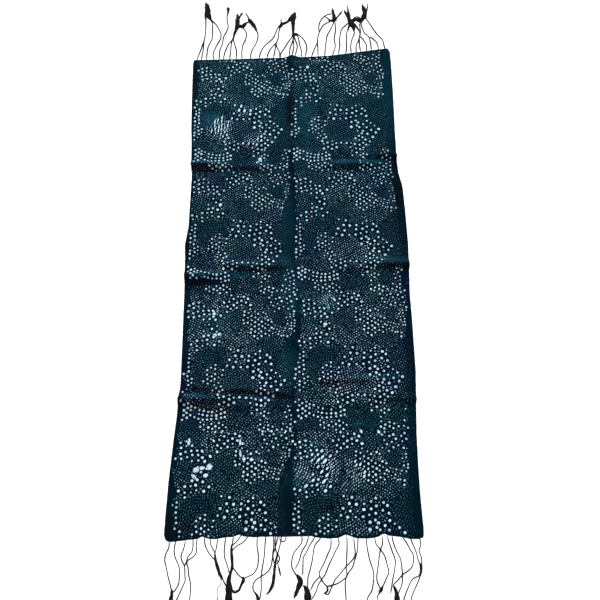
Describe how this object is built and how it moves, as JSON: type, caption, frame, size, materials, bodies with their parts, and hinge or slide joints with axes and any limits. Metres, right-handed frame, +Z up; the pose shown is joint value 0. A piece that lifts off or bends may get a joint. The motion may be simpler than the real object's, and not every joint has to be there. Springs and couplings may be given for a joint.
{
  "type": "mud cloth",
  "caption": "Thin dyed cloth lying flat with fold creases, a dotted print and matted warp fringe at both ends.",
  "frame": {"origin": "middle of the part's outline, fringe included, on the surface it lies on", "axes": "+X across the cloth to the right, +Y along it from the near fringe to the far fringe, +Z up from the surface"},
  "size_m": [0.5198, 1.534, 0.0145],
  "materials": {
    "dyed_cloth": "matt woven cotton, dyed dark indigo and teal, with pale resist dots",
    "fringe_yarn": "dark brown-black warp yarn, matted at the tips"
  },
  "bodies": {
    "root": {"cloth": "dyed_cloth", "fringe_far": "fringe_yarn", "fringe_near": "fringe_yarn"}
  },
  "joints": []
}
